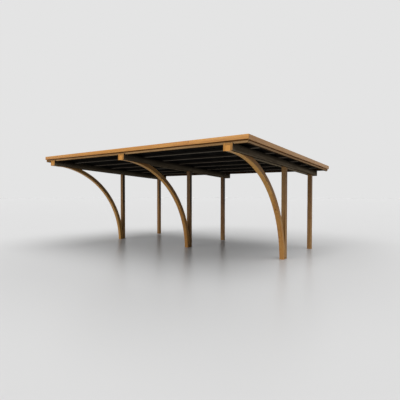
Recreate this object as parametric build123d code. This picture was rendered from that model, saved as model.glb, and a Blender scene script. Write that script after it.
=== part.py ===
"""Double carport on curved glulam braces, in millimetres.

X runs across the drive-in front, from left to right. Y runs from the front to the rear, and Z is up.
The origin is on the ground, under the middle of the middle front post. Three equal frames stand side
by side. In each, two planks clamp a front post, a rear post and a curved brace between them.
"""
from build123d import *
import os
from math import cos, radians, sqrt, tan

# Frames: three in a row, each on a front post and a rear post
frame_names = ["left", "middle", "right"]
bay = 3160.0                  # from one frame to the next
post_run = 1925.0             # from the front post to the rear post, centre to centre
post_side = 115.0             # square glulam posts

# Beams: two planks, one on each side of the posts, falling to the rear
roof_pitch = 3.5              # degrees
beam_height = 2370.0          # underside of the planks, over the middle of the front posts
plank_thickness = 50.0
plank_depth = 155.0
beam_front = 2745.0           # from the front post to the front end of the planks
beam_rear = 320.0             # from the rear post to the rear end of the planks
post_top_gap = 4.0            # the posts end this far under the top of the planks

# Curved braces: glulam bent to an arc, from the ground up to the front end of the planks
brace_radius = 2600.0         # of the hollow front face
brace_depth = 110.0
brace_seat = 12.0             # planed off the back of the foot, where it is bolted to the post

# Blocks that close the gap between the planks
front_block_length = 420.0
rear_block_length = 120.0
block_gap = 0.3               # from the front block down to the arc of the brace

# Roof edge: a rim of squared timber that carries a proud fascia board
roof_side = 450.0             # from the middle of an outer frame to the face of the side fascia
fascia_set_back = 5.0         # face of the front fascia behind the front ends of the planks
rear_eave = 30.0              # face of the rear fascia behind the rear ends of the planks
fascia_thickness = 28.0
fascia_depth = 95.0
fascia_rise = 140.0           # top of the fascia over the top of the planks
rim_thickness = 45.0
rim_drop = 25.0               # the front and side rims hang this far below the top of the planks
notch_gap = 0.5               # round each pair of planks in the front rim

# Purlins lie across the planks and carry a ribbed metal sheet
purlin_count = 6
purlin_width = 75.0
purlin_height = 50.0
sheet_thickness = 1.0
rib_pitch = 207.0
rib_height = 35.0
rib_crown = 40.0              # flat top of a rib
rib_foot = 90.0               # width of a rib where it leaves the flat of the sheet
sheet_gap = 6.0               # from the edge of the sheet to the fascia

os.makedirs("parts", exist_ok=True)

frames_half_run = (len(frame_names) - 1) / 2 * bay
frame_x = {name: index * bay - frames_half_run for index, name in enumerate(frame_names)}
roof_place = Location((0, 0, beam_height), (-roof_pitch, 0, 0))
run_cosine = cos(radians(roof_pitch))
run_slope = tan(radians(roof_pitch))


def roof_height(y, above_underside=0.0):
    """Height over the ground of a plane that lies above_underside over the planks' underside."""
    return beam_height - y * run_slope + above_underside / run_cosine


def block(x_range, y_range, z_range):
    """A square-edged solid between two values on each axis."""
    low = [min(x_range), min(y_range), min(z_range)]
    size = [abs(r[1] - r[0]) for r in (x_range, y_range, z_range)]
    return Pos(*low) * Box(*size, align=(Align.MIN, Align.MIN, Align.MIN))


def on_roof(shape):
    """Tilt a shape from the roof's own frame: Y down the slope, Z square to the planks."""
    return roof_place * shape


def save(shape, name):
    """Write one node."""
    export_step(shape, f"parts/{name}.step")


def side_profile(points, x_middle, width):
    """Extrude an outline of (y, z) points to width, centred on x_middle."""
    face = make_face(Polyline(*points, close=True))
    return Pos(x_middle - width / 2, 0, 0) * extrude(Plane.YZ * face, width)


def post(x_middle, y_middle):
    """A post from the ground to just under the top of the planks, with its top cut to the pitch."""
    front = y_middle - post_side / 2
    rear = y_middle + post_side / 2
    top = plank_depth - post_top_gap
    outline = [(front, 0), (rear, 0), (rear, roof_height(rear, top)), (front, roof_height(front, top))]
    return side_profile(outline, x_middle, post_side)


# The planks' ends are square to the planks, so they are placed along the slope
plank_start = -beam_front / run_cosine
plank_end = (post_run + beam_rear) / run_cosine
plank_middle = (post_side + plank_thickness) / 2

# The hollow face of the brace is level with the underside of the planks at their front end. Its back
# runs down past the face of the front post, and is planed flat there over the height of the seat.
brace_back_radius = brace_radius + brace_depth
brace_centre_y = -post_side / 2 + brace_seat - brace_back_radius
brace_end_y = -beam_front
brace_end_rise = sqrt(brace_radius ** 2 - (brace_end_y - brace_centre_y) ** 2)
brace_centre_z = roof_height(brace_end_y) - brace_end_rise


def brace(x_middle):
    """A curved brace: a ring sector, cut off by the ground, the front post and the planks' front end."""
    ring = Circle(brace_back_radius) - Circle(brace_radius)
    ring = Pos(brace_centre_y, brace_centre_z) * ring
    post_face = -post_side / 2
    top = brace_centre_z + brace_back_radius + plank_depth
    window_points = [
        (brace_end_y, brace_centre_z + brace_radius / 2),
        (brace_centre_y + brace_radius / 2, 0),
        (post_face, 0),
        (post_face, top),
        (brace_end_y + top * run_slope - roof_height(brace_end_y) * run_slope, top),
        (brace_end_y, roof_height(brace_end_y)),
    ]
    window = make_face(Polyline(*window_points, close=True))
    sector = ring & window
    return Pos(x_middle - post_side / 2, 0, 0) * extrude(Plane.YZ * sector, post_side)


def plank(x_middle):
    """One plank of a beam."""
    half = plank_thickness / 2
    return on_roof(block((x_middle - half, x_middle + half), (plank_start, plank_end), (0, plank_depth)))


def front_block(x_middle):
    """The block over the front end of a brace, hollowed out to follow its back."""
    half = post_side / 2
    x_range = (x_middle - half, x_middle + half)
    blank = on_roof(block(x_range, (plank_start, plank_start + front_block_length), (0, plank_depth)))
    back = Cylinder(brace_back_radius + block_gap, post_side + 20, rotation=(0, 90, 0))
    return blank - Pos(x_middle, brace_centre_y, brace_centre_z) * back


def rear_block(x_middle):
    """The block that closes the rear end of a beam."""
    half = post_side / 2
    x_range = (x_middle - half, x_middle + half)
    return on_roof(block(x_range, (plank_end - rear_block_length, plank_end), (0, plank_depth)))


for frame_name, x in frame_x.items():
    save(post(x, 0), f"front_post_{frame_name}")
    save(post(x, post_run), f"rear_post_{frame_name}")
    save(brace(x), f"curved_brace_{frame_name}")
    save(plank(x - plank_middle), f"beam_plank_{frame_name}_a")
    save(plank(x + plank_middle), f"beam_plank_{frame_name}_b")
    save(front_block(x), f"front_block_{frame_name}")
    save(rear_block(x), f"rear_block_{frame_name}")

# Roof edge, in the roof's own frame
half_width = frames_half_run + roof_side
edge_front = plank_start + fascia_set_back
edge_rear = plank_end + rear_eave
fascia_top = plank_depth + fascia_rise
fascia_span = (fascia_top - fascia_depth, fascia_top)
rim_x = half_width - fascia_thickness
rim_front = edge_front + fascia_thickness
rim_rear = edge_rear - fascia_thickness
purlin_top = plank_depth + purlin_height
hung_span = (plank_depth - rim_drop, purlin_top)
seated_span = (plank_depth, purlin_top)


def front_rim():
    """The front rim, notched down over each pair of planks and the block between them."""
    rim = block((-rim_x, rim_x), (rim_front, rim_front + rim_thickness), hung_span)
    half = post_side / 2 + plank_thickness + notch_gap
    for x_middle in frame_x.values():
        rim -= block((x_middle - half, x_middle + half), (rim_front - 1, rim_front + rim_thickness + 1),
                     (0, plank_depth))
    return rim


save(on_roof(front_rim()), "front_rim")
save(on_roof(block((-rim_x, rim_x), (rim_rear - rim_thickness, rim_rear), seated_span)), "rear_rim")
side_run = (rim_front + rim_thickness, rim_rear - rim_thickness)
save(on_roof(block((-rim_x, -rim_x + rim_thickness), side_run, hung_span)), "left_rim")
save(on_roof(block((rim_x - rim_thickness, rim_x), side_run, hung_span)), "right_rim")

save(on_roof(block((-half_width, half_width), (edge_front, rim_front), fascia_span)), "front_fascia")
save(on_roof(block((-half_width, half_width), (rim_rear, edge_rear), fascia_span)), "rear_fascia")
save(on_roof(block((-half_width, -rim_x), (rim_front, rim_rear), fascia_span)), "left_fascia")
save(on_roof(block((rim_x, half_width), (rim_front, rim_rear), fascia_span)), "right_fascia")

# Purlins at an even pitch between the front and the rear edge
purlin_pitch = (edge_rear - edge_front) / (purlin_count + 1)
purlin_x = rim_x - rim_thickness
for number in range(1, purlin_count + 1):
    middle = edge_front + number * purlin_pitch
    y_range = (middle - purlin_width / 2, middle + purlin_width / 2)
    save(on_roof(block((-purlin_x, purlin_x), y_range, seated_span)), f"purlin_{number}")


def ribbed_sheet():
    """The roof sheet: flat strips on the purlins with raised ribs between them, down the slope."""
    sheet_x = rim_x - sheet_gap
    rib_count = int(2 * sheet_x // rib_pitch)
    first = -(rib_count - 1) / 2 * rib_pitch
    line = [(-sheet_x, 0.0)]
    for index in range(rib_count):
        centre = first + index * rib_pitch
        line += [(centre - rib_foot / 2, 0.0), (centre - rib_crown / 2, rib_height)]
        line += [(centre + rib_crown / 2, rib_height), (centre + rib_foot / 2, 0.0)]
    line.append((sheet_x, 0.0))
    upper = [(px, pz + sheet_thickness) for px, pz in reversed(line)]
    face = make_face(Polyline(*line, *upper, close=True))
    length = rim_rear - rim_front - 2 * sheet_gap
    # Plane.XZ looks along -Y, so the profile is extruded from its rear edge towards the front
    strip = extrude(Plane.XZ * face, length)
    return Pos(0, rim_rear - sheet_gap, purlin_top) * strip


save(on_roof(ribbed_sheet()), "roof_sheet")
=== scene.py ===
"""Looks of the double carport: planed and stained timber, fixings, roof sheet, studio and camera.

Lengths are in metres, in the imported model's own frame: X across the drive-in front, Y from the
front to the rear, Z up. Each timber is made from its own solid: a merged copy with eased arrises,
which carries the run of its grain as an attribute. The curved braces, the roof sheet and all bolts
and screws come from Geometry Nodes.
"""
import logging
from collections.abc import Mapping, Sequence
from dataclasses import dataclass, field, replace
from enum import Enum
from math import acos, asin, ceil, cos, pi, radians, sin, sqrt, tan
from typing import Any

import bmesh
import bpy
import numpy as np
from mathutils import Matrix, Vector


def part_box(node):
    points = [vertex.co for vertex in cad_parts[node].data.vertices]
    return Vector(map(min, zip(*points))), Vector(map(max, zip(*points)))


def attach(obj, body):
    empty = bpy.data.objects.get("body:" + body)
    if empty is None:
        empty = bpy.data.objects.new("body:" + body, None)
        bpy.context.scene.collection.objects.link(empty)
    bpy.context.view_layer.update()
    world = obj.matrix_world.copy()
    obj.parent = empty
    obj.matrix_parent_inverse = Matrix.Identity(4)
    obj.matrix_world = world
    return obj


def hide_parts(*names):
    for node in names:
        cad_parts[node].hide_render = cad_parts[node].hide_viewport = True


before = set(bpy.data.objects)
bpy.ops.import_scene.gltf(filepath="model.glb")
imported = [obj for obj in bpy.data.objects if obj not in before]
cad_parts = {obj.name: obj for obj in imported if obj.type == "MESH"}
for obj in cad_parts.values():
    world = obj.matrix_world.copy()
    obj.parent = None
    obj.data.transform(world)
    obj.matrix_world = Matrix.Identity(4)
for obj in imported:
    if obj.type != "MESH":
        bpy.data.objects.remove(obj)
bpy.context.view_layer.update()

log = logging.getLogger("carport")

Colour = tuple[float, float, float, float]
Point = tuple[float, float, float]


def shade(red: int, green: int, blue: int) -> Colour:
    """A colour on the 0 to 255 scale of a screen, as the linear values that a shader takes.

    Args:
        red: Red, 0 to 255.
        green: Green, 0 to 255.
        blue: Blue, 0 to 255.

    Returns:
        Linear red, green and blue, and an alpha of 1.
    """
    def linear(part: int) -> float:
        """One channel of the colour."""
        share = part / 255
        return share / 12.92 if share <= 0.04045 else ((share + 0.055) / 1.055) ** 2.4

    return linear(red), linear(green), linear(blue), 1.0


def grey(level: float) -> Colour:
    """A grey of a linear level."""
    return level, level, level, 1.0


def add(name: str, data: bpy.types.ID) -> bpy.types.Object:
    """Add an object to the scene."""
    made = bpy.data.objects.new(name, data)
    bpy.context.scene.collection.objects.link(made)
    return made


def settle(work: bmesh.types.BMesh, mesh: bpy.types.Mesh) -> None:
    """Write a work mesh into a mesh, and free it."""
    work.to_mesh(mesh)
    work.free()


# Node trees


class Value:
    """A number in a node tree. Python's operators on it add Math nodes."""

    def __init__(self, sheet: "NodeSheet", socket: bpy.types.NodeSocket) -> None:
        """Wrap a socket.

        Args:
            sheet: The tree that the socket is in.
            socket: An output that gives a number.
        """
        self.sheet = sheet
        self.socket = socket

    def _math(self, operation: str, *terms: "Value | float") -> "Value":
        """Add a Math node, with the terms in their order."""
        made = self.sheet.node("ShaderNodeMath", {"operation": operation}, dict(enumerate(terms)))
        return Value(self.sheet, made.outputs[0])

    def __add__(self, other: "Value | float") -> "Value":
        """self + other."""
        return self._math("ADD", self, other)

    __radd__ = __add__

    def __sub__(self, other: "Value | float") -> "Value":
        """self - other."""
        return self._math("SUBTRACT", self, other)

    def __rsub__(self, other: float) -> "Value":
        """other - self."""
        return self._math("SUBTRACT", other, self)

    def __mul__(self, other: "Value | float") -> "Value":
        """self * other."""
        return self._math("MULTIPLY", self, other)

    __rmul__ = __mul__

    def __truediv__(self, other: "Value | float") -> "Value":
        """self / other."""
        return self._math("DIVIDE", self, other)

    def __rtruediv__(self, other: float) -> "Value":
        """other / self."""
        return self._math("DIVIDE", other, self)

    def __pow__(self, other: float) -> "Value":
        """self to the power of other."""
        return self._math("POWER", self, other)

    def of(self, operation: str, *more: "Value | float") -> "Value":
        """Any other sum on this number, by Blender's name for it, such as FLOOR or COSINE."""
        return self._math(operation, self, *more)

    def ramp(self, low: float, high: float) -> "Value":
        """A smooth step: 0 where this number is low, 1 where it is high.

        Args:
            low: Where the step starts.
            high: Where the step ends, above or below low.

        Returns:
            The step.
        """
        made = self.sheet.node("ShaderNodeMapRange", {"interpolation_type": "SMOOTHSTEP"},
                               {"Value": self, "From Min": low, "From Max": high})
        return Value(self.sheet, made.outputs[0])


class NodeSheet:
    """A node tree under construction."""

    def __init__(self, tree: bpy.types.NodeTree) -> None:
        """Take over an empty tree."""
        self.tree = tree

    def node(self, kind: str, settings: Mapping[str, Any] | None = None,
             sockets: Mapping[int | str, Any] | None = None) -> bpy.types.Node:
        """Add a node.

        Args:
            kind: The node's type.
            settings: What is set on the node itself, before its sockets.
            sockets: For each input, by its name or number, a value or what is linked to it.

        Returns:
            The node.
        """
        made = self.tree.nodes.new(kind)
        for name, value in (settings or {}).items():
            setattr(made, name, value)
        for key, value in (sockets or {}).items():
            self.feed(made.inputs[key], value)
        return made

    def feed(self, socket: bpy.types.NodeSocket, value: Any) -> None:
        """Link a socket, or set it.

        Args:
            socket: The input.
            value: A wrapped number, an output, or a plain value.
        """
        if isinstance(value, Value):
            value = value.socket
        if isinstance(value, bpy.types.NodeSocket):
            self.tree.links.new(value, socket)
        else:
            socket.default_value = value

    def vector_math(self, operation: str, first: Any, second: Any) -> bpy.types.NodeSocket:
        """A Vector Math node on two vectors, and its result."""
        made = self.node("ShaderNodeVectorMath", {"operation": operation}, {0: first, 1: second})
        return made.outputs["Vector"]

    def split(self, vector: bpy.types.NodeSocket) -> tuple[Value, Value, Value]:
        """The three parts of a vector."""
        made = self.node("ShaderNodeSeparateXYZ", sockets={0: vector})
        x, y, z = (Value(self, part) for part in made.outputs)
        return x, y, z

    def join(self, *parts: Value | float) -> bpy.types.NodeSocket:
        """A vector of three parts."""
        return self.node("ShaderNodeCombineXYZ", sockets=dict(enumerate(parts))).outputs[0]


class ShaderSheet(NodeSheet):
    """The tree of a material with one Principled BSDF."""

    def __init__(self, name: str) -> None:
        """Make the material, and empty its tree.

        Args:
            name: The material's name.
        """
        self.material = bpy.data.materials.new(name)
        self.material.use_nodes = True
        self.material.node_tree.nodes.clear()
        super().__init__(self.material.node_tree)

    def attribute(self, name: str) -> bpy.types.Node:
        """An Attribute node that reads the piece's own attribute."""
        return self.node("ShaderNodeAttribute", {"attribute_name": name})

    def number(self, name: str) -> Value:
        """The piece's own attribute as a number."""
        return Value(self, self.attribute(name).outputs["Fac"])

    def stretch(self, vector: Any, scale: Point) -> bpy.types.NodeSocket:
        """A vector with each part times its own factor."""
        return self.vector_math("MULTIPLY", vector, scale)

    def noise(self, vector: Any, seed: Value | float = 0.0, detail: float = 2.0,
              roughness: float = 0.5) -> Value:
        """Soft noise between about 0.2 and 0.8, with features of about one unit.

        Args:
            vector: The place, already scaled.
            seed: What makes one piece differ from the next.
            detail: How many finer layers it has.
            roughness: How strong the finer layers are.

        Returns:
            The noise.
        """
        made = self.node("ShaderNodeTexNoise", {"noise_dimensions": "4D"},
                         {"Vector": vector, "W": seed, "Scale": 1.0, "Detail": detail,
                          "Roughness": roughness})
        return Value(self, made.outputs[0])

    def cloud(self, scale: Point, seed: float, detail: float = 2.0,
              roughness: float = 0.5) -> Value:
        """Noise on the Object coordinates, with so many features a metre on each axis."""
        place = self.node("ShaderNodeTexCoord").outputs["Object"]
        return self.noise(self.stretch(place, scale), seed, detail, roughness)

    def chance(self, *parts: Value | float) -> tuple[Value, Value, Value]:
        """Three even random numbers between 0 and 1 for each set of whole numbers."""
        made = self.node("ShaderNodeTexWhiteNoise", {"noise_dimensions": "3D"},
                         {"Vector": self.join(*parts)})
        return self.split(made.outputs["Color"])

    def blend(self, share: Any, base: Any, over: Any) -> bpy.types.NodeSocket:
        """Lay a share, 0 to 1, of one colour over another."""
        made = self.node("ShaderNodeMix", {"data_type": "RGBA"}, {0: share, 6: base, 7: over})
        return made.outputs[2]

    def relief(self, height: Value, depth: float, strength: float) -> bpy.types.NodeSocket:
        """A normal that is bumped by a height of 0 to 1, where 1 stands for the depth."""
        made = self.node("ShaderNodeBump", sockets={"Height": height, "Distance": depth,
                                                    "Strength": strength})
        return made.outputs[0]

    def finish(self, **sockets: Any) -> bpy.types.Material:
        """End the tree in a Principled BSDF.

        Args:
            sockets: Its inputs, with an underscore for each space.

        Returns:
            The material.
        """
        named = {key.replace("_", " "): value for key, value in sockets.items()}
        shader = self.node("ShaderNodeBsdfPrincipled", sockets=named)
        self.node("ShaderNodeOutputMaterial", sockets={"Surface": shader.outputs[0]})
        return self.material


class GeometrySheet(NodeSheet):
    """A Geometry Nodes tree that turns one mesh into another."""

    def __init__(self, name: str) -> None:
        """Make the tree with a geometry at each end.

        Args:
            name: The tree's name.
        """
        super().__init__(bpy.data.node_groups.new(name, "GeometryNodeTree"))
        self._socket("Geometry", "INPUT", "NodeSocketGeometry")
        self._socket("Geometry", "OUTPUT", "NodeSocketGeometry")
        self.entry = self.node("NodeGroupInput")
        self.values: dict[str, float | int] = {}

    def _socket(self, name: str, way: str, kind: str) -> bpy.types.NodeTreeInterfaceSocket:
        """Add a socket to the tree's own inputs or outputs."""
        return self.tree.interface.new_socket(name=name, in_out=way, socket_type=kind)

    def sizes(self, **values: float) -> list[Value]:
        """Make a named input for each size.

        Args:
            values: What the modifier gets for each, with an underscore for each space in its name.

        Returns:
            The inputs as numbers, in their order.
        """
        numbers = []
        for key, value in values.items():
            name = key.replace("_", " ").capitalize()
            kind = "NodeSocketInt" if isinstance(value, int) else "NodeSocketFloat"
            self.values[self._socket(name, "INPUT", kind).identifier] = value
            numbers.append(Value(self, self.entry.outputs[name]))
        return numbers

    def named(self, name: str) -> bpy.types.NodeSocket:
        """A vector attribute of the geometry."""
        return self.node("GeometryNodeInputNamedAttribute", {"data_type": "FLOAT_VECTOR"},
                         {"Name": name}).outputs[0]

    def merged(self, *shapes: bpy.types.NodeSocket) -> bpy.types.NodeSocket:
        """Several geometries as one."""
        made = self.node("GeometryNodeJoinGeometry")
        for shape in shapes:
            self.tree.links.new(shape, made.inputs[0])
        return made.outputs[0]

    def make(self, name: str, source: bpy.types.Mesh, shape: bpy.types.NodeSocket,
             material: bpy.types.Material | None = None) -> bpy.types.Object:
        """End the tree, run it on a mesh and keep the result as a plain mesh.

        Args:
            name: The name of the piece.
            source: The mesh that goes in.
            shape: The geometry that comes out.
            material: Its finish, if it gets it here.

        Returns:
            The piece, with no modifier left on it.
        """
        solid = self.node("GeometryNodeRealizeInstances", sockets={0: shape}).outputs[0]
        solid = self.node("GeometryNodeSetMaterial",
                          sockets={"Geometry": solid, "Material": material})
        self.node("NodeGroupOutput", sockets={0: solid.outputs[0]})
        piece = add(name, source)
        modifier = piece.modifiers.new("make", "NODES")
        modifier.node_group = self.tree
        for identifier, value in self.values.items():
            modifier[identifier] = value
        graph = bpy.context.evaluated_depsgraph_get()
        mesh = bpy.data.meshes.new_from_object(piece.evaluated_get(graph))
        piece.modifiers.clear()
        piece.data = mesh
        mesh.name = name
        mesh.materials.clear()
        if material:
            mesh.materials.append(material)
        return piece


# Finishes

WARM_WOOD = shade(176, 92, 36)
LATE_WOOD = shade(70, 34, 14)
KNOT_WOOD = shade(74, 38, 18)
GLUE_LINE = shade(62, 32, 14)
RUBBED_WOOD = shade(214, 170, 116)
DUST = shade(120, 112, 104)

# Features a metre: across, through and along the grain
STREAKS = (16.0, 16.0, 0.9)
FIBRES = (420.0, 420.0, 11.0)
PATCHES = (5.0, 5.0, 2.2)
WANDER = (4.0, 4.0, 0.8)
KNOTS = (7.0, 7.0, 3.0)
RINGS = 230.0
FINGERS = 160.0

# Metres
SAWN_MIDDLE = 0.05
PITH_SPREAD = 0.12
PITH_NEAR = 0.03
PITH_RANGE = 0.05
RING_WANDER = 0.05
FINGER_LENGTH = 0.018
SEAM_EDGE = 0.0004
GLUE_WIDTH = 0.0011
JOINT_WIDTH = 0.0012
GRAIN_RELIEF = 0.0007

# Share of a board by which its finger joint stands off from its end
JOINT_OFFSET = 0.006


@dataclass(frozen=True)
class Band:
    """A strip along a timber in a darker colour, used for painted shade and for a darker lower
    edge.

    Attributes:
        start: Place across the grain, from the middle, where it starts.
        full: Where it is full. It stays full beyond.
        colour: The colour there.
    """

    start: float
    full: float
    colour: Colour


class WoodSheet(ShaderSheet):
    """The tree of a stained timber, in which each board of each glued layer is its own wood.

    Attributes:
        stain: The finish.
        grain: The place across, through and along the grain.
        across: The first part of it.
        depth: The second part of it.
        seed: The timber's own number.
        end_cut: 1 on end grain.
        height: Height over the ground.
        layer: Number of the glued layer.
        inner: The place through the board, from its middle.
        place: The place along the layer, counted in boards.
        board: Number of the board.
        luck: The board's own random number, from 0 to 1.
        pith: Another one, for how far off its pith lies.
        warm: Another one, for how red it is.
        streak: Broad streaks.
        fibre: Fine fibres.
        patch: Soft patches.
        late: The dark side of the growth rings.
        groove: How deep knots and seams lie.
        colour: The colour so far.
    """

    def __init__(self, stain: "Stain") -> None:
        """Read the timber's attributes.

        Args:
            stain: The finish.
        """
        super().__init__(stain.name)
        self.stain = stain
        self.grain = self.attribute("grain").outputs["Vector"]
        self.across, self.depth, along = self.split(self.grain)
        self.seed = self.number("seed")
        self.end_cut = self.number("end_cut")
        _, _, self.height = self.split(self.node("ShaderNodeTexCoord").outputs["Object"])
        if stain.layer:
            self.layer = (self.depth / stain.layer).of("FLOOR")
            self.inner = self.depth - (self.layer + 0.5) * stain.layer
        else:
            self.layer = self.depth * 0.0
            self.inner = self.depth - SAWN_MIDDLE
        shift, _, _ = self.chance(self.layer, self.seed * 53.0, 0.5)
        self.place = along / stain.board + shift
        self.board = self.place.of("FLOOR")
        self.luck, self.pith, self.warm = self.chance(self.layer, self.board, self.seed * 71.0)
        self.streak = self.figure(STREAKS, self.seed * 17.0 + self.layer, 3.0, 0.6)
        self.fibre = self.figure(FIBRES, self.seed)
        self.patch = self.figure(PATCHES, self.seed * 31.0)
        self.late = self._late_wood()
        self.groove: Value | float = 0.0
        self.colour: Any = stain.deep

    def figure(self, scale: Point, seed: Value, detail: float = 2.0,
               roughness: float = 0.5) -> Value:
        """Noise that is drawn out along the grain."""
        return self.noise(self.stretch(self.grain, scale), seed, detail, roughness)

    def lay(self, share: Value | float, over: Any) -> None:
        """Lay a share of another colour over what is there so far."""
        self.colour = self.blend(share, self.colour, over)

    def _late_wood(self) -> Value:
        """The dark side of the growth rings, which run round a pith outside the board."""
        wander = self.figure(WANDER, self.seed * 9.0 + self.board, 1.0) - 0.5
        pith_across = (self.luck - 0.5) * PITH_SPREAD
        pith_depth = self.pith * PITH_RANGE + PITH_NEAR
        far = ((self.across - pith_across) ** 2.0 + (self.inner + pith_depth) ** 2.0) ** 0.5
        ring = ((far + wander * RING_WANDER) * RINGS).of("FRACT")
        return ring ** 3.0 * (1.0 - ring.ramp(0.93, 1.0))

    def boards(self) -> None:
        """Stain each board, and paint light high up on the faces that are no flanks."""
        stain = self.stain
        # Painted light: the faces other than the flanks are painted paler high up
        painted_light_high = self.height.ramp(0.5, 2.1) * (1.0 - self.number("flank")) * stain.painted_light_high
        tone = (0.5 + (self.streak - 0.5) * (2.4 * stain.streaks)
                + (self.luck - 0.5) * (0.55 * stain.contrast)
                + (self.patch - 0.5) * 0.5 + self.number("tone") * 0.4 + painted_light_high)
        self.lay(tone.ramp(0.0, 1.0), stain.pale)
        self.lay(self.warm * (0.22 * stain.contrast), WARM_WOOD)
        self.lay(self.late * 0.42 + (self.fibre - 0.5).ramp(0.0, 0.3) * 0.16,
                 self.blend(0.55, stain.deep, LATE_WOOD))

    def knots(self) -> None:
        """Set the knots: brown eyes with a halo, drawn out along the grain."""
        shift = self.join(self.seed * 13.0, 0.0, self.board * 0.37)
        cells = self.node("ShaderNodeTexVoronoi", sockets={
            "Vector": self.vector_math("ADD", self.stretch(self.grain, KNOTS), shift),
            "Scale": 1.0})
        bare = 1.0 - self.stain.knots
        there = Value(self, cells.outputs["Color"]).ramp(bare, bare + 0.02)
        gap = Value(self, cells.outputs["Distance"])
        eye = gap.ramp(0.12, 0.06) * there
        self.lay(gap.ramp(0.26, 0.08) * there * 0.4, self.stain.deep)
        self.lay(eye * 0.75, KNOT_WOOD)
        self.groove = eye * 0.25

    def seams(self) -> None:
        """Draw the glue lines between the layers and the finger joints between the boards."""
        layer, board = self.stain.layer, self.stain.board
        edge = ((self.depth / layer).of("FRACT") - 0.5).of("ABSOLUTE")
        glue = edge.ramp(0.5 - GLUE_WIDTH / layer, 0.5 - SEAM_EDGE / layer)
        finger = (self.across * FINGERS).of("PINGPONG", 0.5) * (FINGER_LENGTH / board)
        gap = (finger + self.place.of("FRACT") - JOINT_OFFSET).of("ABSOLUTE")
        joint = gap.ramp(JOINT_WIDTH / board, SEAM_EDGE / board)
        seam = glue.of("MAXIMUM", joint) * (1.0 - self.end_cut * 0.5)
        self.lay(seam * 0.5, GLUE_LINE)
        self.groove = self.groove + seam * 0.5

    def keep(self) -> None:
        """Paint shade on the flanks and under the roof, most of all high up."""
        flank = self.number("flank") * self.stain.flank * (self.height.ramp(0.2, 1.9) * 0.55 + 0.45)
        inner = self.number("inner") * self.stain.roof_shade * (self.height.ramp(0.7, 2.2) * 0.8 + 0.2)
        self.lay((flank + inner).of("MINIMUM", 1.0), self.stain.painted_shade)

    def wear_and_shade(self) -> None:
        """Stain the end grain, rub the arrises, add the dust, and lay the bands: painted shade, and
        a darker lower edge on the rims.
        """
        stain = self.stain
        saw = (self.streak - 0.5) * 0.8 + 0.5 + self.number("tone") * 0.5
        end = stain.end or stain.pale
        cut = self.blend(saw.ramp(0.0, 1.0), self.blend(0.45, end, stain.deep), end)
        self.lay(self.end_cut * (0.9 if stain.end else 0.3), cut)
        bare = (self.patch + self.streak - 0.9).ramp(0.0, 0.3)
        self.lay(self.number("arris") * bare * stain.rubbed, RUBBED_WOOD)
        self.lay((self.patch - 0.2) * 1.6 * stain.dirt, DUST)
        # The bands: painted shade, and the rims' darker lower edge
        for band in stain.bands:
            strip = self.across.ramp(band.start, band.full) * (1.0 - self.end_cut)
            self.lay(strip * 0.9, band.colour)


@dataclass(frozen=True)
class Stain:
    """Stained softwood. Its pattern follows the grain attribute of the piece.

    Attributes:
        name: The material's name.
        slot: The record's material slot. It is not used.
        pale: The stain over soft early wood.
        deep: The stain where the wood takes more of it.
        layer: Thickness of the glued layers, or 0 for sawn timber.
        board: Length of the boards between finger joints.
        streaks: How strong the broad streaks are, 0 to 1.
        knots: Share of the places for a knot that have one.
        dirt: Share of grey on the stain.
        rubbed: How worn the arrises are.
        end: The stain on end grain, or none where it is as on the faces.
        flank: How much painted shade darkens the faces that look to the left and right.
        roof_shade: How much painted shade darkens the faces under the roof.
        painted_shade: The colour of the painted shade where it is deepest.
        painted_light_high: How much paler the faces other than the flanks are painted high up:
            painted light.
        contrast: How much one board differs from the next, 0 to 1.
        shine: Specular level of the varnish.
        bands: Strips along the timber.
    """

    name: str
    slot: str
    pale: Colour
    deep: Colour
    layer: float = 0.0
    board: float = 9.0
    streaks: float = 0.8
    knots: float = 0.3
    dirt: float = 0.0
    rubbed: float = 0.2
    end: Colour | None = None
    flank: float = 0.0
    roof_shade: float = 0.0
    painted_shade: Colour = shade(66, 50, 32)
    painted_light_high: float = 0.0
    contrast: float = 1.0
    shine: float = 0.3
    bands: tuple[Band, ...] = ()

    def ready(self) -> bpy.types.Material:
        """The material, made when it is first asked for."""
        return bpy.data.materials.get(self.name) or self.material()

    def material(self) -> bpy.types.Material:
        """Make the material."""
        sheet = WoodSheet(self)
        sheet.boards()
        sheet.knots()
        if self.layer:
            sheet.seams()
        # Painted shade on the flanks and under the roof
        if self.flank or self.roof_shade:
            sheet.keep()
        sheet.wear_and_shade()
        rough = (0.46 + (sheet.fibre - 0.5) * 0.25 + (sheet.streak - 0.5) * 0.2
                 + sheet.end_cut * 0.14)
        skin = 0.75 - sheet.late * 0.3 - (sheet.fibre - 0.5) * 0.8 - sheet.groove
        return sheet.finish(Base_Color=sheet.colour, Roughness=rough,
                            Specular_IOR_Level=self.shine,
                            Normal=sheet.relief(skin, GRAIN_RELIEF, 0.55))


@dataclass(frozen=True)
class Coating:
    """A factory coat on thin steel, matt, with dust and run marks down the slope.

    Attributes:
        name: The material's name.
        slot: The record's material slot. It is not used.
        colour: The coat.
        dust: What lies on it.
    """

    name: str
    slot: str
    colour: Colour
    dust: Colour

    def material(self) -> bpy.types.Material:
        """Make the material."""
        sheet = ShaderSheet(self.name)
        runs = sheet.cloud((22.0, 0.7, 2.0), 3.0, 3.0, 0.6)
        cloud = sheet.cloud((1.3, 1.1, 1.3), 8.0, 3.0, 0.6)
        speck = sheet.cloud((180.0, 180.0, 180.0), 1.0)
        amount = (runs + cloud - 0.86).ramp(0.0, 0.5) * 0.35 + (speck - 0.5).ramp(0.05, 0.2) * 0.08
        return sheet.finish(
            Base_Color=sheet.blend(amount, self.colour, self.dust),
            Roughness=0.5 + amount * 0.5,
            Specular_IOR_Level=0.35,
            Normal=sheet.relief(speck, 0.0002, 0.25))


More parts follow.
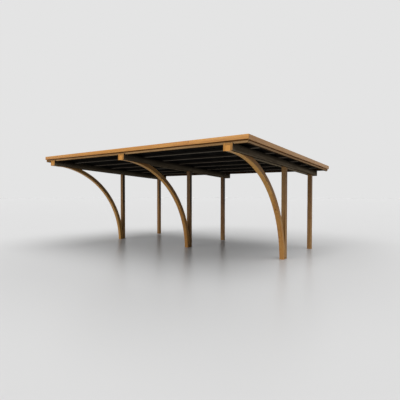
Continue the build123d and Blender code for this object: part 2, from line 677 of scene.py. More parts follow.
@dataclass(frozen=True)
class Fleece:
    """Black felt, as under the sheet, where it keeps drops from falling, or black foam.

    Attributes:
        name: The material's name.
        colour: The felt or foam.
        fluff: Its raised fibres.
    """

    name: str
    colour: Colour
    fluff: Colour

    def material(self) -> bpy.types.Material:
        """Make the material."""
        sheet = ShaderSheet(self.name)
        felt = sheet.cloud((260.0, 260.0, 260.0), 4.0, 4.0, 0.7)
        cloud = sheet.cloud((3.0, 1.2, 3.0), 6.0)
        return sheet.finish(
            Base_Color=sheet.blend((felt + cloud - 0.8).ramp(0.0, 0.6), self.colour, self.fluff),
            Roughness=0.95,
            Specular_IOR_Level=0.0,
            Normal=sheet.relief(felt, 0.0006, 0.6))


@dataclass(frozen=True)
class Steel:
    """Coated steel of the bolts and screws, lighter where a tool has rubbed it.

    Attributes:
        name: The material's name.
        colour: The coat.
        bright: The rubbed metal.
    """

    name: str
    colour: Colour
    bright: Colour

    def material(self) -> bpy.types.Material:
        """Make the material."""
        sheet = ShaderSheet(self.name)
        cloud = sheet.cloud((60.0, 60.0, 60.0), 2.0, 3.0, 0.6)
        fine = sheet.cloud((900.0, 900.0, 900.0), 5.0)
        rubbed = (cloud - 0.55).ramp(0.0, 0.15) * 0.4
        return sheet.finish(
            Base_Color=sheet.blend(rubbed, self.colour, self.bright),
            Metallic=0.75,
            Roughness=0.42 + (cloud - 0.5) * 0.4,
            Normal=sheet.relief(fine, 0.0001, 0.3))


# Painted shadow of the fascia along the top of the rim
PAINTED_LEDGE_SHADOW = Band(0.004, 0.021, shade(76, 38, 2))
# Darker along the lower edge of the rim
DARK_LOWER_EDGE = Band(-0.024, -0.033, shade(30, 20, 12))

# Posts: painted shade on their flanks and under the roof, deeper high up
POST = Stain("post glulam", "post_glulam", shade(212, 166, 100), shade(164, 116, 60),
             layer=0.115 / 3, board=3.1, rubbed=0.5, flank=0.6, roof_shade=0.7, shine=0.15)
# Braces: painted shade on their flanks, and painted light high up on their other faces
BRACE = Stain("brace glulam", "brace_glulam", shade(250, 194, 110), shade(206, 140, 70),
              layer=0.022, board=2.3, rubbed=0.5, end=shade(178, 124, 58), flank=0.7,
              roof_shade=0.08, painted_shade=shade(64, 44, 24), painted_light_high=0.35, shine=0.15)
# Planks: painted shade under the roof, darkening towards the top of each plank and on its underside
BEAM = Stain("beam timber", "beam_timber", shade(152, 140, 118), shade(86, 78, 65),
             rubbed=0.15, end=shade(174, 120, 56), roof_shade=0.5, painted_shade=shade(50, 46, 38),
             contrast=0.3, shine=0.0, bands=(Band(-0.085, 0.08, shade(12, 10, 8)),
                                             Band(-0.0755, -0.0774, shade(14, 12, 9))))
# Rims: painted shade under the roof, with the bands given above
RIM = Stain("rim timber", "rim_timber", shade(162, 131, 92), shade(124, 97, 64),
            roof_shade=1.2, painted_shade=shade(36, 29, 21), contrast=0.6, shine=0.0,
            bands=(PAINTED_LEDGE_SHADOW, DARK_LOWER_EDGE))
# Side rims: a paler copy of the rim stain, painted light on the sides of the roof
SIDE_RIM = replace(RIM, name="side rim timber", pale=shade(184, 156, 122),
                   deep=shade(146, 120, 90))
# Front and rear fascias: a painted shadow line along the lower edge
FASCIA = Stain("fascia timber", "fascia_timber", shade(198, 143, 69), shade(168, 108, 41),
               board=4.1, knots=0.45, contrast=0.35,
               bands=(Band(-0.041, -0.046, shade(96, 58, 20)),))
# Side fascias: a paler, greyer copy of the fascia stain, painted light and sheen on the sides of
# the roof
PAINTED_LIGHT_SIDE_FASCIA = Stain("side fascia timber with painted light", "fascia_timber", shade(207, 165, 111),
                 shade(173, 127, 75), board=3.3, knots=0.4, dirt=0.2)
# Purlins: painted shade above a thin strip along their lower edge
PURLIN = Stain("purlin timber", "purlin_timber", shade(98, 94, 86), shade(76, 72, 64),
               rubbed=0.0, contrast=0.2, shine=0.0,
               bands=(Band(-0.024, -0.017, shade(20, 18, 16)),))
COAT = Coating("coated sheet", "roof_metal", shade(50, 52, 54), shade(104, 102, 98))
FELT = Fleece("black felt", shade(19, 18, 17), shade(34, 33, 31))
FOAM = Fleece("black foam", shade(24, 24, 24), shade(38, 37, 36))
BROWNED = Steel("browned steel", shade(70, 56, 42), shade(120, 104, 84))
COATED = Steel("coated screws", shade(60, 62, 64), shade(150, 150, 148))


# Timber

WELD = 2e-5          # points nearer than this are one
FLAT = 0.2           # faces that turn less than this, in degrees, are one
SHARP = 30.0         # edges that turn more than this, in degrees, are arrises
FACING = 0.9         # a face with more than this share of its normal one way looks that way

# Seeds of the timbers: where those of a kind start, and from one to the next
FRAME_STEP, POST_STEP, PLANK_STEP, BRACE_STEP = 0.137, 0.031, 0.017, 0.083
EDGE_SEED, EDGE_STEP = 0.411, 0.029
PURLIN_SEED, PURLIN_STEP = 0.701, 0.043


@dataclass(frozen=True)
class RoofPlane:
    """The plane that the roof is set out on: the underside of the planks.

    Attributes:
        pitch: Fall to the rear, in degrees.
        height: Height over the middle of the front posts.
    """

    pitch: float = 3.5
    height: float = 2.370

    def place(self) -> Matrix:
        """The matrix from the roof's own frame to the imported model's."""
        tilt = Matrix.Rotation(-radians(self.pitch), 4, "X")
        return Matrix.Translation((0, 0, self.height)) @ tilt

    def level(self, y: float) -> float:
        """Height of the plane over a point on the ground."""
        return self.height - y * tan(radians(self.pitch))


class Run(Enum):
    """Which way the grain of a timber runs: the axes across, through and along it."""

    UPRIGHT = (0, 1, 2)
    ACROSS = (1, 2, 0)
    DOWN_SLOPE = (0, 2, 1)


ROOF = RoofPlane()


@dataclass(frozen=True)
class RoofShade:
    """How much painted shade the roof lays on the faces of a timber.

    Attributes:
        edge: From the middle to where the painted shade starts at a side of the roof.
        fade: How much further in it would reach 1.
        least: What a timber at the side has.
        most: What a timber at the middle has.
        flank: Faces that look out to a side, and lie further out than this, have none.
        front: Faces that look to the front, in front of this Y, have none.
        rear: Faces that look to the rear, behind this Y, have none.
    """

    edge: float = 3.6
    fade: float = 3.0
    least: float = 0.36
    most: float = 0.75
    flank: float = 1.5
    front: float = -1.7
    rear: float = 1.3

    def on(self, middles: np.ndarray, normal: np.ndarray, bent: bool) -> np.ndarray:
        """The painted shade of each face, 0 to 1.

        Args:
            middles: The middle of each face.
            normal: The way that it looks.
            bent: True for a curved brace, where only the faces that look inwards have any.

        Returns:
            One number for each face.
        """
        x, y = middles[:, 0], middles[:, 1]
        sideways = np.abs(normal[:, 0]) > FACING
        inwards = (sideways & (normal[:, 0] * x <= self.flank)).astype(float)
        if bent:
            return inwards
        under = np.clip((self.edge - np.abs(x)) / self.fade, self.least, self.most)
        at_front = (normal[:, 1] < -0.5) & (y < self.front)
        at_rear = (normal[:, 1] > 0.5) & (y > self.rear)
        return np.where(sideways, inwards, np.where(at_front | at_rear, 0.0, under))


ROOF_SHADE = RoofShade()


def merged_copy(node: str) -> bmesh.types.BMesh:
    """A copy of a CAD node's mesh with its loose triangles joined into whole faces.

    Args:
        node: The node's name.

    Returns:
        The copy.
    """
    work = bmesh.new()
    work.from_mesh(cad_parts[node].data)
    bmesh.ops.remove_doubles(work, verts=work.verts, dist=WELD)
    bmesh.ops.dissolve_limit(work, angle_limit=radians(FLAT), verts=work.verts, edges=work.edges)
    return work


def ease(work: bmesh.types.BMesh, edges: Sequence[bmesh.types.BMEdge], size: float) -> None:
    """Ease the arrises of a timber, and mark the eased faces.

    Args:
        work: The timber.
        edges: The arrises.
        size: How much comes off each side of an arris.
    """
    mark = work.faces.layers.float.new("arris")
    done = bmesh.ops.bevel(work, geom=edges, offset=size, offset_type="OFFSET", segments=2,
                           profile=0.5, affect="EDGES", clamp_overlap=True)
    for face in done["faces"]:
        face[mark] = 1.0


def rows_of(items: bpy.types.bpy_prop_collection, name: str) -> np.ndarray:
    """A vector of each point or face of a mesh, such as co or normal, one row each."""
    flat = np.zeros(len(items) * 3, np.float32)
    items.foreach_get(name, flat)
    return flat.reshape(-1, 3).astype(float)


def write(mesh: bpy.types.Mesh, name: str, domain: str, values: np.ndarray) -> None:
    """Write an attribute.

    Args:
        mesh: The mesh.
        name: The attribute's name.
        domain: POINT or FACE.
        values: A number, or a row of three, for each point or face.
    """
    kind, part = ("FLOAT_VECTOR", "vector") if values.ndim == 2 else ("FLOAT", "value")
    made = mesh.attributes.new(name, kind, domain)
    made.data.foreach_set(part, values.astype(np.float32).ravel())


def mark_grain(mesh: bpy.types.Mesh, grain: np.ndarray, way: np.ndarray, seed: float,
               tone: float, bent: bool = False) -> None:
    """Write the attributes that the stain reads.

    Args:
        mesh: The timber.
        grain: For each point, its place across, through and along the grain.
        way: For each face, or for all, the direction of the grain there.
        seed: A number of the piece's own.
        tone: How much paler than its neighbours the piece is, -1 to 1.
        bent: True for a curved brace.
    """
    normal, middles = rows_of(mesh.polygons, "normal"), rows_of(mesh.polygons, "center")
    write(mesh, "grain", "POINT", grain)
    write(mesh, "seed", "POINT", np.full(len(mesh.vertices), seed))
    write(mesh, "tone", "POINT", np.full(len(mesh.vertices), tone))
    write(mesh, "end_cut", "FACE", np.abs((normal * way).sum(1)) > FACING)
    # flank marks the faces that look to the sides, which get painted shade; inner holds the painted
    # shade under the roof
    write(mesh, "flank", "FACE", np.abs(normal[:, 0]) > FACING)
    write(mesh, "inner", "FACE", ROOF_SHADE.on(middles, normal, bent))


def hand_over(piece: bpy.types.Object, replaced: Sequence[str] = ()) -> None:
    """Put a finished piece on the body, hide the CAD nodes that it stands for, and log its faces.

    Args:
        piece: The finished piece.
        replaced: The CAD nodes that it stands for.
    """
    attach(piece, "root")
    if replaced:
        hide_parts(*replaced)
    log.info("%s: %d faces", piece.name, len(piece.data.polygons))


@dataclass
class Planer:
    """Turns the CAD's solids into planed, stained timbers.

    Attributes:
        stain: The finish of this kind of timber.
        run: Which way the grain runs.
        arris: How much comes off the edges.
        turned: True where the wide face of a board stands upright.
        material: The finish, made ready.
    """

    stain: Stain
    run: Run
    arris: float = 0.003
    turned: bool = False
    material: bpy.types.Material = field(init=False)

    def __post_init__(self) -> None:
        """Make the finish once for all its timbers."""
        self.material = self.stain.ready()

    def grain_of(self, points: np.ndarray) -> tuple[np.ndarray, np.ndarray]:
        """Where each point lies in the wood.

        Args:
            points: The points, one row each.

        Returns:
            The places across, through and along the grain, and the grain's direction.
        """
        turn = Matrix() if self.run is Run.UPRIGHT else ROOF.place()
        back = np.array(turn.inverted())
        own = points @ back[:3, :3].T + back[:3, 3]
        across, through, along = self.run.value
        if self.turned:
            across, through = through, across
        grain = own[:, [across, through, along]]
        grain[:, 0] -= (grain[:, 0].min() + grain[:, 0].max()) / 2
        grain[:, 1] -= grain[:, 1].min()
        return grain, np.array(turn.to_3x3().col[along])

    def plane(self, node: str, seed: float, tone: float = 0.0) -> None:
        """Make one timber from its CAD node.

        Args:
            node: The node's name.
            seed: A number of the piece's own.
            tone: How much paler than its neighbours the piece is, -1 to 1.
        """
        work = merged_copy(node)
        sharp = [edge for edge in work.edges
                 if len(edge.link_faces) == 2 and edge.calc_face_angle(0) > radians(SHARP)]
        ease(work, sharp, self.arris)
        mesh = bpy.data.meshes.new(node + "_planed")
        settle(work, mesh)
        grain, way = self.grain_of(rows_of(mesh.vertices, "co"))
        mark_grain(mesh, grain, way, seed, tone)
        mesh.materials.append(self.material)
        hand_over(add(mesh.name, mesh), [node])


@dataclass(frozen=True)
class BraceBender:
    """Bends the curved braces: a rounded section swept along an arc and trimmed at both ends.

    Attributes:
        radius: Radius of the hollow face.
        depth: Depth of the brace, across the layers.
        width: Width of the brace.
        seat: How much is planed off the back of the foot.
        post_face: Y of the front face of the post.
        end: Y of the planks' front end, at their underside.
        arris: Radius of the long arrises.
        corner: Points round each of them.
        end_arris: How much comes off the arrises of the ends.
        stations: Sections along the arc.
    """

    radius: float = 2.600
    depth: float = 0.110
    width: float = 0.115
    seat: float = 0.012
    post_face: float = -0.0575
    end: float = -2.745
    arris: float = 0.004
    corner: int = 3
    end_arris: float = 0.003
    stations: int = 120

    def centre(self) -> tuple[float, float]:
        """Y and Z of the middle of the arc."""
        y = self.post_face + self.seat - self.radius - self.depth
        return y, ROOF.level(self.end) - sqrt(self.radius ** 2 - (self.end - y) ** 2)

    def bend(self, x: float, name: str) -> bpy.types.Object:
        """Sweep and trim one brace.

        Args:
            x: The middle of the frame that it stands in.
            name: The name of the piece.

        Returns:
            The bare piece.
        """
        centre_y, centre_z = self.centre()
        pitch = radians(ROOF.pitch)
        reach = (self.end - centre_y) * cos(pitch) - (ROOF.level(self.end) - centre_z) * sin(pitch)
        middle_radius = self.radius + self.depth / 2
        first = asin(-centre_z / middle_radius)
        last = acos(reach / middle_radius) - pitch

        sheet = GeometrySheet("bent brace")
        hollow, depth, width, arris, stations, frame_x, seat_face = sheet.sizes(
            hollow_radius=self.radius, depth=self.depth, width=self.width, arris=self.arris,
            stations=self.stations, middle_of_frame=x, seat_face=self.post_face)
        arc = sheet.node("GeometryNodeCurveArc", {"mode": "RADIUS"},
                         {"Resolution": stations, "Radius": hollow + depth / 2.0,
                          "Start Angle": first, "Sweep Angle": last - first})
        section = sheet.node("GeometryNodeCurvePrimitiveQuadrilateral", {"mode": "RECTANGLE"},
                             {"Width": depth, "Height": width})
        rounded = sheet.node("GeometryNodeFilletCurve", {"mode": "POLY"},
                             {"Curve": section.outputs[0], "Count": self.corner,
                              "Radius": arris})
        swept = sheet.node("GeometryNodeCurveToMesh",
                           sockets={"Curve": arc.outputs[0], "Fill Caps": True,
                                    "Profile Curve": rounded.outputs[0]})

        # Each point slides along its own arc, so that the ends lie on the ground and on the end cut
        along, up, side = sheet.split(sheet.node("GeometryNodeInputPosition").outputs[0])
        ring = (along ** 2.0 + up ** 2.0) ** 0.5
        share = (up.of("ARCTAN2", along) - first) / (last - first)
        ground = (-centre_z / ring).of("ARCSINE")
        cut = (reach / ring).of("ARCCOSINE") - pitch
        angle = ground + share * (cut - ground)
        y = (angle.of("COSINE") * ring + centre_y).of("MINIMUM", seat_face)
        z = angle.of("SINE") * ring + centre_z
        trimmed = sheet.node("GeometryNodeSetPosition",
                             sockets={"Geometry": swept.outputs[0],
                                      "Position": sheet.join(side + frame_x, y, z)})
        piece = sheet.make(name, bpy.data.meshes.new(name), trimmed.outputs[0])
        self._ends(piece.data)
        return piece

    def _ends(self, mesh: bpy.types.Mesh) -> None:
        """Point the faces outwards and ease the arrises of the two ends."""
        work = bmesh.new()
        work.from_mesh(mesh)
        bmesh.ops.remove_doubles(work, verts=work.verts, dist=1e-5)
        bmesh.ops.recalc_face_normals(work, faces=work.faces)
        rims = [edge for edge in work.edges
                if any(len(face.verts) > 4 for face in edge.link_faces)]
        ease(work, rims, self.end_arris)
        mark = work.faces.layers.float["arris"]
        narrow = self.arris * 1.2
        for face in work.faces:
            if len(face.verts) == 4 and min(edge.calc_length() for edge in face.edges) < narrow:
                face[mark] = 1.0
        for point in work.verts:
            point.co.y = max(point.co.y, self.end)
            point.co.z = max(point.co.z, 0.0)
        settle(work, mesh)

    def mark(self, mesh: bpy.types.Mesh, x: float, seed: float, tone: float) -> None:
        """Mark the grain, which follows the bend.

        Args:
            mesh: The brace.
            x: The middle of its frame.
            seed: A number of the piece's own.
            tone: How much paler than its neighbours the piece is, -1 to 1.
        """
        centre_y, centre_z = self.centre()
        points, middles = rows_of(mesh.vertices, "co"), rows_of(mesh.polygons, "center")
        dy, dz = points[:, 1] - centre_y, points[:, 2] - centre_z
        grain = np.stack([points[:, 0] - x, np.hypot(dy, dz) - self.radius,
                          np.arctan2(dz, dy) * self.radius], 1)
        turn = np.arctan2(middles[:, 2] - centre_z, middles[:, 1] - centre_y)
        way = np.stack([np.zeros_like(turn), -np.sin(turn), np.cos(turn)], 1)
        mark_grain(mesh, grain, way, seed, tone, bent=True)


# Fixings


@dataclass(frozen=True)
class HexHead:
    """A hexagon head on a round washer, set by Geometry Nodes at each point of a cloud.

    Attributes:
        head: Radius over the corners of the head.
        rise: Height of the head.
        washer: Radius of the washer.
        plate: Thickness of the washer.
    """

    head: float
    rise: float
    washer: float
    plate: float

    def tree(self, name: str) -> tuple[GeometrySheet, bpy.types.NodeSocket]:
        """Build the tree.

        Args:
            name: The tree's name.

        Returns:
            The tree, and the instances in it.
        """
        sheet = GeometrySheet(name)
        head, rise, washer, plate = sheet.sizes(
            head_radius=self.head, head_height=self.rise, washer_radius=self.washer,
            washer_thickness=self.plate)
        rim, neck = plate * 0.7, plate + rise * 0.8
        shapes = []
        for sides, low, wide, high, narrow in (
                (20, 0.0, washer, rim, washer), (20, rim, washer, plate, washer * 0.94),
                (6, plate, head, neck, head), (6, neck, head, plate + rise, head * 0.8)):
            cone = sheet.node("GeometryNodeMeshCone", {"fill_type": "NGON"},
                              {"Vertices": sides, "Radius Bottom": wide, "Radius Top": narrow,
                               "Depth": high - low})
            shapes.append(sheet.node("GeometryNodeTransform", sockets={
                "Geometry": cone.outputs[0], "Translation": sheet.join(0.0, 0.0, low)}).outputs[0])
        facing = sheet.node("FunctionNodeAlignRotationToVector", {"axis": "Z"},
                            {"Vector": sheet.named("facing")})
        spin = sheet.node("FunctionNodeRandomValue", {"data_type": "FLOAT"},
                          {2: 0.0, 3: pi / 3, "Seed": 11})
        turn = sheet.node("FunctionNodeAxisAngleToRotation",
                          sockets={"Axis": (0.0, 0.0, 1.0), "Angle": spin.outputs[1]})
        rotation = sheet.node("FunctionNodeRotateRotation", {"rotation_space": "LOCAL"},
                              {0: facing.outputs[0], 1: turn.outputs[0]})
        placed = sheet.node("GeometryNodeInstanceOnPoints", sockets={
            "Points": sheet.entry.outputs[0], "Instance": sheet.merged(*shapes),
            "Rotation": rotation.outputs[0]})
        return sheet, placed.outputs[0]

    def fix(self, name: str, spots: Sequence[tuple[Point, Point]],
            material: bpy.types.Material) -> None:
        """Set a head at each spot, all as one piece.

        Args:
            name: The name of the piece.
            spots: For each head, the point under its washer and the way that it faces.
            material: The finish.
        """
        cloud = bpy.data.meshes.new(name)
        cloud.from_pydata([spot for spot, _ in spots], [], [])
        write(cloud, "facing", "POINT", np.array([way for _, way in spots]))
        sheet, shape = self.tree(name)
        hand_over(sheet.make(name, cloud, shape, material))


# Sub-assemblies


@dataclass
class PortalFrame:
    """One frame: front post, rear post, curved brace, and the two planks that clamp them.

    Attributes:
        name: Left, middle or right.
        seed: What the seeds of its timbers start from.
        tone: How much paler than its neighbours its glulam is, -1 to 1.
        post_run: From the front post to the rear post.
        clamp: From the middle of the frame to the outer face of a plank.
        plank_depth: Depth of the planks.
        tip: Front end of the planks, along the slope.
        rows: The lower and the upper row of bolts, as shares of the depth.
        stagger: From the middle of a post to each of its two bolts.
        tip_bolts: From the tip to the bolts through the block and the brace.
        rear_bolt: From the rear post to the bolt through the rear block.
    """

    name: str
    seed: float
    tone: float
    post_run: float = 1.925
    clamp: float = 0.1075
    plank_depth: float = 0.155
    tip: float = -2.750
    rows: tuple[float, float] = (0.28, 0.72)
    stagger: float = 0.024
    tip_bolts: tuple[float, float, float] = (0.11, 0.34, 0.62)
    rear_bolt: float = 0.265

    def middle(self) -> float:
        """X of the middle of the frame."""
        low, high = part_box("front_post_" + self.name)
        return (low.x + high.x) / 2

    def timbers(self, post: Planer, plank: Planer) -> None:
        """Plane the posts, planks and blocks.

        Args:
            post: For the posts.
            plank: For the planks and blocks.
        """
        for count, node in enumerate(("front_post_", "rear_post_"), start=1):
            post.plane(node + self.name, self.seed + POST_STEP * count, self.tone)
        planks = ((f"beam_plank_{self.name}_a", 0.9), (f"beam_plank_{self.name}_b", -0.3),
                  ("front_block_" + self.name, 0.1), ("rear_block_" + self.name, 0.3))
        for count, (node, tone) in enumerate(planks, start=5):
            plank.plane(node, self.seed + PLANK_STEP * count, tone)

    def brace(self, bender: BraceBender, stain: Stain) -> None:
        """Bend the brace.

        Args:
            bender: Makes the shape.
            stain: The finish.
        """
        x = self.middle()
        piece = bender.bend(x, f"curved_brace_{self.name}_bent")
        bender.mark(piece.data, x, self.seed + BRACE_STEP, self.tone)
        piece.data.materials.append(stain.ready())
        hand_over(piece, ["curved_brace_" + self.name])

    def bolts(self, head: HexHead, material: bpy.types.Material) -> None:
        """Bolt the planks through the posts, the brace and the blocks.

        Args:
            head: The bolt heads and nuts.
            material: The finish.
        """
        x = self.middle()
        place = ROOF.place()
        spots: list[tuple[Point, Point]] = []
        low, high = (self.plank_depth * share for share in self.rows)
        front, middle, back = (self.tip + run for run in self.tip_bolts)
        pairs = ((-self.stagger, high), (self.stagger, low), (self.post_run - self.stagger, high),
                 (self.post_run + self.stagger, low), (front, high), (middle, high), (back, low),
                 (self.post_run + self.rear_bolt, high * 0.9))
        for along, up in pairs:
            for side in (-1, 1):
                spot = place @ Vector((0, along, up))
                spots.append(((x + side * self.clamp, spot.y, spot.z), (side, 0, 0)))
        head.fix(f"beam_bolts_{self.name}", spots, material)


@dataclass(frozen=True)
class RoofEdge:
    """Four timbers round the roof: the rims, or the fascia boards on them.

    Attributes:
        part: Rim or fascia.
        across: The finish of the front and rear ones.
        down: The finish of the side ones.
        first: The number that the seeds start from.
    """

    part: str
    across: Stain
    down: Stain
    first: int

    def timbers(self) -> None:
        """Plane them."""
        across = Planer(self.across, Run.ACROSS, turned=True)
        down = Planer(self.down, Run.DOWN_SLOPE, turned=True)
        sides = (("front_", across), ("rear_", across), ("left_", down), ("right_", down))
        for number, (side, planer) in enumerate(sides, start=self.first):
            planer.plane(side + self.part, EDGE_SEED + EDGE_STEP * number)


@dataclass(frozen=True)
class RibbedSheet:
    """The roof sheet, formed by Geometry Nodes: a fine grid that rises and falls with the ribs.

    Attributes:
        half_width: From the middle to a side edge.
        front: Front edge, along the slope.
        rear: Rear edge, along the slope.
        level: Underside of the flat strips, over the underside of the planks.
        gauge: Thickness.
        pitch: From rib to rib. An even number of ribs stands evenly about the middle.
        rise: Height of the ribs.
        crown: Width of their flat tops.
        foot: Width where they leave the flat strips.
        steps: Points across each pitch.
    """

    half_width: float = 3.576
    front: float = -2.71113
    rear: float = 2.245195
    level: float = 0.205
    gauge: float = 0.001
    pitch: float = 0.207
    rise: float = 0.035
    crown: float = 0.040
    foot: float = 0.090
    steps: int = 46

    def form(self, name: str, top: bpy.types.Material,
             under: bpy.types.Material) -> bpy.types.Object:
        """Roll the sheet and lay it on the purlins.

        Args:
            name: The name of the piece.
            top: The finish of its upper side.
            under: The finish of its underside.

        Returns:
            The bare piece.
        """
        sheet = GeometrySheet(name)
        half, pitch, rise, crown, foot, gauge = sheet.sizes(
            half_width=self.half_width, rib_pitch=self.pitch, rib_height=self.rise,
            rib_crown=self.crown, rib_foot=self.foot, gauge=self.gauge)
        reach = ceil(self.half_width * self.steps / self.pitch)
        length = self.rear - self.front
        grid = sheet.node("GeometryNodeMeshGrid", sockets={
            "Size X": pitch * (2.0 * reach / self.steps), "Size Y": length,
            "Vertices X": 2 * reach + 1, "Vertices Y": 2})
        x, y, _ = sheet.split(sheet.node("GeometryNodeInputPosition").outputs[0])
        off = ((x / pitch).of("FRACT") - 0.5).of("ABSOLUTE") * pitch
        flank = (foot / 2.0 - off) / (foot / 2.0 - crown / 2.0)
        flank = flank.of("MAXIMUM", 0.0).of("MINIMUM", 1.0)
        bent = flank * 0.5 + flank.ramp(0.0, 1.0) * 0.5
        edge = x.of("MINIMUM", half).of("MAXIMUM", half * -1.0)
        upper = sheet.node("GeometryNodeSetPosition", sockets={
            "Geometry": grid.outputs["Mesh"],
            "Position": sheet.join(edge, y + (self.front + self.rear) / 2,
                                   bent * rise + gauge + self.level)})
        lower = sheet.node("GeometryNodeExtrudeMesh", {"mode": "FACES"}, {
            "Mesh": upper.outputs[0], "Offset": (0.0, 0.0, -1.0), "Offset Scale": gauge,
            "Individual": False})
        shell = sheet.node("GeometryNodeMergeByDistance", sockets={
            "Geometry": sheet.merged(upper.outputs[0], lower.outputs[0]), "Distance": 1e-5})
        laid = sheet.node("GeometryNodeTransform", sockets={
            "Geometry": shell.outputs[0], "Translation": (0.0, 0.0, ROOF.height),
            "Rotation": (-radians(ROOF.pitch), 0.0, 0.0)})
        piece = sheet.make(name, bpy.data.meshes.new(name), laid.outputs[0])
        for finish in (top, under):
            piece.data.materials.append(finish)
        work = bmesh.new()
        work.from_mesh(piece.data)
        bmesh.ops.recalc_face_normals(work, faces=work.faces)
        for face in work.faces:
            face.material_index = int(face.normal.z < 0)
        settle(work, piece.data)
        return piece


@dataclass
class RoofDeck:
    """The purlins, the ribbed sheet on them, its screws, and the foam that closes its ribs.

    Attributes:
        sheet: The sheet.
        purlins: How many purlins there are.
        rim: Half the thickness of the rims, which carry the edges of the sheet.
        gap: From the edges of the sheet to the fascias.
        side_screws: From the middle to the screws in the side rims.
        strips: Number of the last flat strip with screws, counted from the middle.
        foam: Length of the foam blocks.
        inset: From the edges of the sheet to the foam.
        play: From the flat of the sheet up to the foam.
        fill: The shares of a rib's width and height that the foam fills.
    """

    sheet: RibbedSheet = field(default_factory=RibbedSheet)
    purlins: int = 6
    rim: float = 0.0225
    gap: float = 0.006
    side_screws: float = 3.556
    strips: int = 16
    foam: float = 0.030
    inset: float = 0.004
    play: float = 0.0006
    fill: tuple[float, float] = (0.97, 0.94)

    def timbers(self, planer: Planer) -> None:
        """Plane the purlins."""
        for number in range(1, self.purlins + 1):
            planer.plane(f"purlin_{number}", PURLIN_SEED + PURLIN_STEP * number)

    def cover(self, coat: Coating, fleece: Fleece) -> None:
        """Lay the sheet, coated on its upper side and with felt under it."""
        piece = self.sheet.form("roof_sheet_ribbed", coat.material(), fleece.material())
        hand_over(piece, ["roof_sheet"])

    def close(self, foam: Fleece) -> None:
        """Fill the ribs over the front and the rear rim with foam blocks.

        Args:
            foam: Their finish.
        """
        form = self.sheet
        wide, high = self.fill
        foot, crown, top = form.foot / 2 * wide, form.crown / 2 * wide, form.rise * high
        outline = ((-foot, 0.0), (foot, 0.0), (crown, top), (-crown, top))
        starts = (form.front + self.inset, form.rear - self.inset - self.foam)
        work = bmesh.new()
        ribs = int(2 * form.half_width // form.pitch)
        for number in range(ribs):
            middle = (number - (ribs - 1) / 2) * form.pitch
            for start in starts:
                ends = [[work.verts.new((middle + x, y, form.level + self.play + z))
                         for x, z in outline] for y in (start, start + self.foam)]
                work.faces.new(ends[0])
                work.faces.new(ends[1][::-1])
                for side in range(4):
                    after = (side + 1) % 4
                    work.faces.new((ends[0][after], ends[0][side], ends[1][side], ends[1][after]))
        work.transform(ROOF.place())
        bmesh.ops.recalc_face_normals(work, faces=work.faces)
        mesh = bpy.data.meshes.new("rib_closures")
        settle(work, mesh)
        mesh.materials.append(foam.material())
        hand_over(add(mesh.name, mesh))

    def screws(self, head: HexHead, material: bpy.types.Material) -> None:
        """Screw every second flat strip to each purlin and rim, and the side edges to theirs.

        Args:
            head: The screw heads.
            material: The finish.
        """
        place = ROOF.place()
        way = tuple(place.to_3x3() @ Vector((0, 0, 1)))
        edge = self.rim - self.gap
        rows = [self.sheet.front + edge, self.sheet.rear - edge]
        back = place.inverted()
        for number in range(1, self.purlins + 1):
            low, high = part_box(f"purlin_{number}")
            rows.append((back @ ((low + high) / 2)).y)
        strips = [step * self.sheet.pitch for step in range(-self.strips, self.strips + 1, 2)]
        spots = []
        for row in sorted(rows):
            for x in [-self.side_screws, *strips, self.side_screws]:
                spot = place @ Vector((x, row, self.sheet.level + self.sheet.gauge))
                spots.append((tuple(spot), way))
        head.fix("roof_screws", spots, material)


@dataclass(frozen=True)
class Lamp:
    """One soft sun of the studio.

    Attributes:
        name: Its name.
        energy: Its strength.
        spread: Width of its disc in degrees. A wide one gives soft shadows.
        source: The way that its light comes from.
    """

    name: str
    energy: float
    spread: float
    source: Point

    def hang(self) -> None:
        """Add it to the scene."""
        data = bpy.data.lights.new(self.name, "SUN")
        data.energy = self.energy
        data.angle = radians(self.spread)
        lamp = add(self.name, data)
        lamp.rotation_euler = Vector(self.source).to_track_quat("Z", "Y").to_euler()


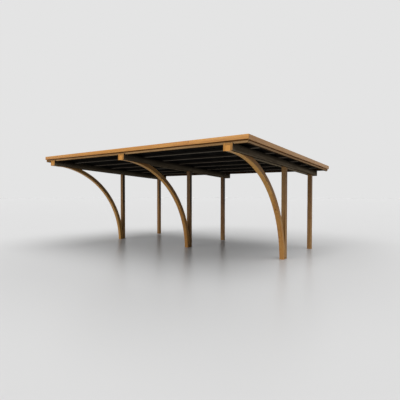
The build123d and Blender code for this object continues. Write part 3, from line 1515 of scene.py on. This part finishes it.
@dataclass(frozen=True)
class Studio:
    """The floor, the light and the camera.

    Attributes:
        eye: Where the camera stands.
        yaw: How far it is turned to the left of the Y axis, in degrees.
        tilt: How far it looks up, in degrees.
        roll: How far it leans, in degrees.
        lens: Focal length.
        sensor: Width of the sensor.
        reach: How far the camera sees.
        sky: Strength of the world's light.
        lamps: The soft lamps: most light comes from above, some of it from the front.
        backdrop: What the camera sees behind the floor.
        floor: The floor under the object as the camera sees it, darker than round it: a painted
            shadow.
        around: The floor round the object as the camera sees it.
        painted_shadow_fade: How far from the middle the painted shadow under the object starts to
            turn into the floor round it, and is done.
        bounce: The floor as the light sees it.
        radius: Radius of the floor.
        sides: Sides of its outline.
        sunk: How far it lies under the object.
    """

    eye: Point = (6.758, -8.421, 1.740)
    yaw: float = 36.966
    tilt: float = -1.380
    roll: float = 0.05
    lens: float = 30.81
    sensor: float = 36.0
    reach: float = 400.0
    sky: float = 0.05
    lamps: tuple[Lamp, ...] = (Lamp("key", 1.0, 36.0, (-0.3, -0.9, 0.8)),
                               Lamp("top", 2.8, 60.0, (0.28, -0.1, 1.0)),
                               Lamp("front", 1.5, 46.0, (-0.3, -1.0, 0.10)))
    backdrop: Colour = shade(228, 228, 228)
    floor: float = 0.50
    around: float = 0.615
    painted_shadow_fade: tuple[float, float] = (3.5, 8.0)
    bounce: float = 0.55
    radius: float = 90.0
    sides: int = 128
    sunk: float = 0.0004

    def camera(self) -> None:
        """Set the camera where the photograph was taken from."""
        yaw, tilt, roll = radians(self.yaw), radians(self.tilt), radians(self.roll)
        ahead = Vector((-sin(yaw) * cos(tilt), cos(yaw) * cos(tilt), sin(tilt)))
        level = Vector((cos(yaw), sin(yaw), 0))
        plumb = level.cross(ahead)
        right = level * cos(roll) + plumb * sin(roll)
        up = plumb * cos(roll) - level * sin(roll)
        data = bpy.data.cameras.new("camera")
        data.sensor_width = self.sensor
        data.sensor_fit = "HORIZONTAL"
        data.lens = self.lens
        data.clip_end = self.reach
        camera = add("camera", data)
        turn = Matrix((right, up, -ahead)).transposed().to_4x4()
        camera.matrix_world = Matrix.Translation(self.eye) @ turn
        bpy.context.scene.camera = camera

    def light(self) -> None:
        """Light the object with a weak even sky and the soft lamps."""
        world = bpy.data.worlds.new("studio")
        bpy.context.scene.world = world
        world.use_nodes = True
        world.node_tree.nodes.clear()
        sheet = NodeSheet(world.node_tree)
        path = sheet.node("ShaderNodeLightPath")
        direct, mirrored = (Value(sheet, path.outputs[name])
                            for name in ("Is Camera Ray", "Is Glossy Ray"))
        soft, back = (
            sheet.node("ShaderNodeBackground", sockets={"Color": colour, "Strength": strength})
            for colour, strength in ((grey(1.0), self.sky), (self.backdrop, 1.0)))
        both = sheet.node("ShaderNodeMixShader", sockets={
            0: direct.of("MAXIMUM", mirrored), 1: soft.outputs[0], 2: back.outputs[0]})
        sheet.node("ShaderNodeOutputWorld", sockets={0: both.outputs[0]})
        for lamp in self.lamps:
            lamp.hang()

    def ground(self) -> None:
        """Lay the floor, with a painted shadow under the object."""
        work = bmesh.new()
        bmesh.ops.create_circle(work, cap_ends=True, cap_tris=False, segments=self.sides,
                                radius=self.radius, matrix=Matrix.Translation((0, 0, -self.sunk)))
        mesh = bpy.data.meshes.new("floor")
        settle(work, mesh)
        sheet = ShaderSheet("pale floor")
        x, y, _ = sheet.split(sheet.node("ShaderNodeTexCoord").outputs["Object"])
        # Painted shadow: darker floor under the object, fading out to the floor round it
        away = ((x ** 2.0 + y ** 2.0) ** 0.5).ramp(*self.painted_shadow_fade)
        pale = sheet.blend(away, grey(self.floor), grey(self.around))
        path = sheet.node("ShaderNodeLightPath")
        mesh.materials.append(sheet.finish(
            Base_Color=sheet.blend(path.outputs["Is Camera Ray"], grey(self.bounce), pale),
            Roughness=0.3, Specular_IOR_Level=0.12))
        add("floor", mesh)


def main() -> None:
    """Build the object and its studio in order, and write down how large it came out."""
    logging.basicConfig(level=logging.INFO, format="%(message)s")
    bpy.context.scene.view_settings.view_transform = "Standard"

    posts = Planer(POST, Run.UPRIGHT, arris=0.004)
    planks = Planer(BEAM, Run.DOWN_SLOPE, turned=True)
    bender = BraceBender()
    bolt = HexHead(head=0.0120, rise=0.009, washer=0.019, plate=0.003)
    steel = BROWNED.material()
    # The left frame's glulam is painted paler than the others: painted light
    for number, (name, tone) in enumerate((("left", 1.0), ("middle", 0.1), ("right", 0.1))):
        portal = PortalFrame(name, number * FRAME_STEP, tone)
        portal.timbers(posts, planks)
        portal.brace(bender, BRACE)
        portal.bolts(bolt, steel)

    RoofEdge("rim", RIM, SIDE_RIM, 0).timbers()
    RoofEdge("fascia", FASCIA, PAINTED_LIGHT_SIDE_FASCIA, 4).timbers()
    deck = RoofDeck()
    deck.timbers(Planer(PURLIN, Run.ACROSS, turned=True))
    deck.cover(COAT, FELT)
    deck.close(FOAM)
    screw = HexHead(head=0.0062, rise=0.005, washer=0.0095, plate=0.002)
    deck.screws(screw, COATED.material())

    studio = Studio()
    studio.camera()
    studio.light()
    studio.ground()


if __name__ == "__main__":
    main()
